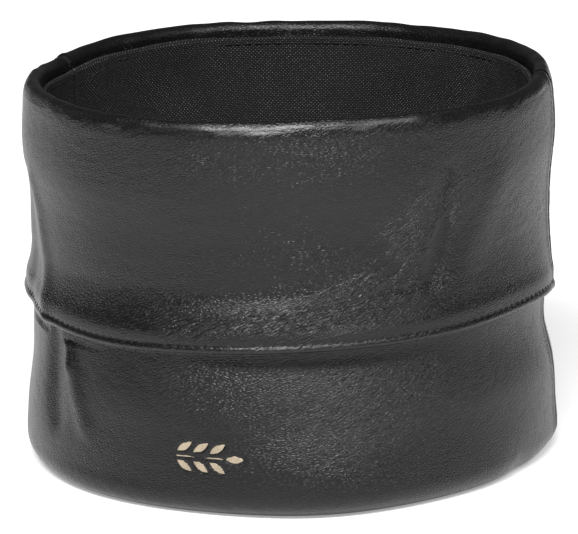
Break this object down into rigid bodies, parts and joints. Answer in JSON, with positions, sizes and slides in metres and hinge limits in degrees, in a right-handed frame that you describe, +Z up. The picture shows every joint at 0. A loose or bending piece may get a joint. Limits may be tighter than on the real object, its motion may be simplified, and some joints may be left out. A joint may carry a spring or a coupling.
{
  "type": "leather basket",
  "caption": "Round soft leather basket with a deep turned-down cuff, a rolled rim, a canvas lining and a flat stiffened base.",
  "frame": {"origin": "centre of the underside, on the surface that the basket stands on", "axes": "+Z up along the basket's axis, -Y towards the front with the stamped mark, +X to the viewer's right"},
  "size_m": [0.2, 0.2, 0.144],
  "materials": {
    "panel_leather": "black grained leather, soft satin",
    "facing_leather": "black grained leather, soft satin, glossier along the rim",
    "canvas": "black plain-weave canvas",
    "thread": "black sewing thread",
    "board": "grey-brown fibre board",
    "foil": "pale gold stamping foil, satin"
  },
  "bodies": {
    "root": {"outer_panel_front": "panel_leather", "outer_panel_rear": "panel_leather", "base_leather": "panel_leather", "base_board": "board", "facing_front": "facing_leather", "facing_rear": "facing_leather", "lining_front": "canvas", "lining_rear": "canvas", "lining_base": "canvas", "hem_topstitch": "thread", "rim_stitching": "thread", "base_seam_thread": "thread", "lining_base_thread": "thread", "body_seam_thread_left": "thread", "body_seam_thread_right": "thread", "facing_seam_thread_left": "thread", "facing_seam_thread_right": "thread", "lining_seam_thread_left": "thread", "lining_seam_thread_right": "thread", "foil_mark": "foil"}
  },
  "joints": []
}
